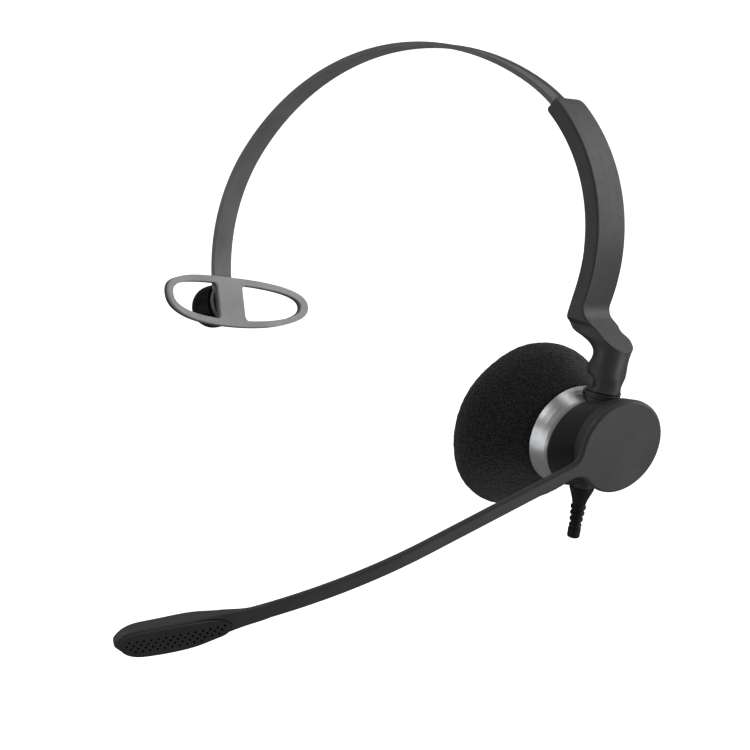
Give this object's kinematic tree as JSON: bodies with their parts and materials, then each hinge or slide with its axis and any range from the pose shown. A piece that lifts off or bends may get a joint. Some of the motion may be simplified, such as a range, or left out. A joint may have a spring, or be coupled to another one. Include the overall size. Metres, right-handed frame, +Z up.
{
  "type": "office headset",
  "caption": "Single-ear office headset with a sprung headband, slider arm, swivel ear cup, turning boom microphone and temple rest.",
  "frame": {"origin": "middle of the headband's inner face at the crown", "axes": "+Z up; +X towards the ear cup; -X towards the temple rest; -Y to the wearer's front; the headband lies in the XZ plane"},
  "size_m": [0.1691, 0.1518, 0.1778],
  "materials": {
    "band_plastic": "fine satin",
    "arm_plastic": "fine matt",
    "rest_plastic": "fine matt",
    "knob_plastic": "matt",
    "cup_plastic": "fine matt",
    "boom_plastic": "fine matt",
    "grille_plastic": "matt",
    "inner_plastic": "moulded",
    "pad_rubber": "matt",
    "relief_rubber": "matt",
    "foam": "open-cell foam",
    "satin_ring": "satin",
    "steel": "plain",
    "board": "circuit board"
  },
  "bodies": {
    "headband": {"headband_strip": "band_plastic", "headband_end_stop": "inner_plastic", "pivot_knob": "knob_plastic", "pivot_stud": "steel", "pivot_washer": "inner_plastic"},
    "pivot": {"pivot_knuckle": "knob_plastic", "tilt_pin": "steel"},
    "temple_rest": {"temple_rest_frame": "rest_plastic", "temple_rest_pad": "pad_rubber"},
    "slider_arm": {"arm_outer_shell": "arm_plastic", "arm_inner_cover": "arm_plastic", "arm_cover_screws": "steel", "detent_spring": "steel", "neck_bush": "inner_plastic"},
    "ear_cup": {"cup_housing": "cup_plastic", "swivel_post": "steel", "retaining_clip": "steel", "neck_collar": "cup_plastic", "strain_relief": "relief_rubber", "cable_clamp": "inner_plastic", "trim_ring": "satin_ring", "speaker_dish": "inner_plastic", "speaker_frame": "inner_plastic", "speaker_magnet": "steel", "speaker_diaphragm": "inner_plastic", "foam_cushion": "foam", "boom_axle": "steel", "friction_washer": "pad_rubber", "junction_board": "board", "housing_screws": "steel"},
    "boom": {"boom_arm": "boom_plastic", "boom_hub_base": "inner_plastic", "hub_screws": "steel", "mic_grille": "grille_plastic", "mic_foam": "foam", "mic_boot": "relief_rubber", "mic_capsule": "steel"}
  },
  "joints": [
    {"name": "headband_adjust", "type": "hinge", "parent": "headband", "child": "slider_arm", "pos_m": [0.01683, 0, -0.05604], "axis": [0, 1, 0], "range_deg": [0, 26]},
    {"name": "cup_swivel", "type": "hinge", "parent": "slider_arm", "child": "ear_cup", "pos_m": [0.0688, 0, -0.10405], "axis": [0.247, 0, 0.969], "range_deg": [-22, 58]},
    {"name": "boom_rotate", "type": "hinge", "parent": "ear_cup", "child": "boom", "pos_m": [0.0755, 0, -0.1204], "axis": [0.8893, -0.2941, -0.3502], "range_deg": [-255, 35]},
    {"name": "rest_roll", "type": "hinge", "parent": "headband", "child": "pivot", "pos_m": [-0.07583, 0, -0.07819], "axis": [0.9806, 0, 0.1959], "range_deg": [-12, 12]},
    {"name": "rest_tilt", "type": "hinge", "parent": "pivot", "child": "temple_rest", "pos_m": [-0.07332, 0, -0.07769], "axis": [0.0123, 0.998, -0.0616], "range_deg": [-8, 8]}
  ]
}
